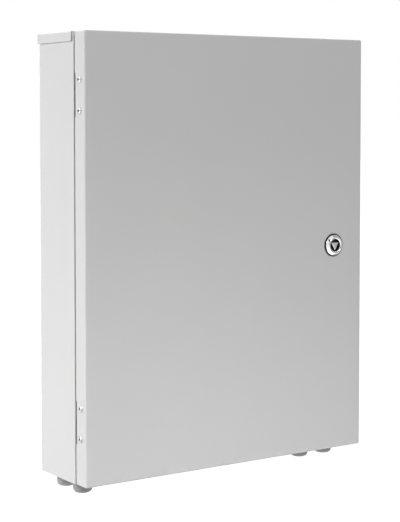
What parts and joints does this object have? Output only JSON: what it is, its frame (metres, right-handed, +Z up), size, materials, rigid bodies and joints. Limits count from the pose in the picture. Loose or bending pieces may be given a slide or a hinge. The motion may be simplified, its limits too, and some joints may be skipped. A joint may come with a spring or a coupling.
{
  "type": "steel wall enclosure",
  "caption": "Shallow sheet-steel wall enclosure with a full-face hinged door, quarter-turn lock, gasket, mounting plate and cable grommets in its base.",
  "frame": {"origin": "on the rear face of the back panel, at the centre of the four wall fixing holes", "axes": "+X to the right seen from the front, +Y back into the wall, +Z up; the door faces -Y"},
  "size_m": [0.3935, 0.1098, 0.5162],
  "materials": {
    "painted_sheet": "light grey polyester powder coat, fine texture, satin",
    "galvanised_plate": "hot-dip galvanised sheet with faint spangle",
    "zinc_fasteners": "bright zinc plated, passivated",
    "hinge_zinc": "die-cast zinc, satin",
    "lock_chrome": "polished chrome plate",
    "lock_core": "satin chrome plate",
    "grommet_rubber": "light grey rubber, matt",
    "gasket_foam": "foamed in place polyurethane, matt skin",
    "seal_rubber": "black rubber, matt"
  },
  "bodies": {
    "housing": {"bottom_panel": "painted_sheet", "grommet_left_front": "grommet_rubber", "grommet_left_rear": "grommet_rubber", "grommet_right_inner": "grommet_rubber", "grommet_right_outer": "grommet_rubber", "hinge_frame_nuts": "zinc_fasteners", "hinge_frame_screws": "zinc_fasteners", "housing_earth_nut": "zinc_fasteners", "housing_earth_stud": "zinc_fasteners", "housing_earth_washer": "zinc_fasteners", "housing_shell": "painted_sheet", "lower_hinge_frame_half": "hinge_zinc", "mounting_plate": "galvanised_plate", "plate_nuts": "zinc_fasteners", "plate_studs": "zinc_fasteners", "plate_washers": "zinc_fasteners", "top_cover": "painted_sheet", "upper_hinge_frame_half": "hinge_zinc"},
    "door": {"door_panel": "painted_sheet", "door_gasket": "gasket_foam", "door_earth_stud": "zinc_fasteners", "door_earth_washer": "zinc_fasteners", "door_earth_nut": "zinc_fasteners", "upper_hinge_door_half": "hinge_zinc", "lower_hinge_door_half": "hinge_zinc", "upper_hinge_pin": "zinc_fasteners", "lower_hinge_pin": "zinc_fasteners", "hinge_door_screws": "zinc_fasteners", "lock_body": "lock_chrome", "lock_seal": "seal_rubber", "lock_nut": "lock_core"},
    "lock_rotor": {"lock_insert": "lock_core", "lock_cam": "zinc_fasteners", "cam_washer": "zinc_fasteners", "cam_screw": "zinc_fasteners"}
  },
  "joints": [
    {"name": "door_hinge", "type": "hinge", "parent": "housing", "child": "door", "pos_m": [-0.1902, -0.0915, 0], "axis": [0, 0, -1], "range_deg": [0, 120]},
    {"name": "lock_turn", "type": "hinge", "parent": "door", "child": "lock_rotor", "pos_m": [0.1515, -0.105, 0], "axis": [0, -1, 0], "range_deg": [0, 90]}
  ]
}
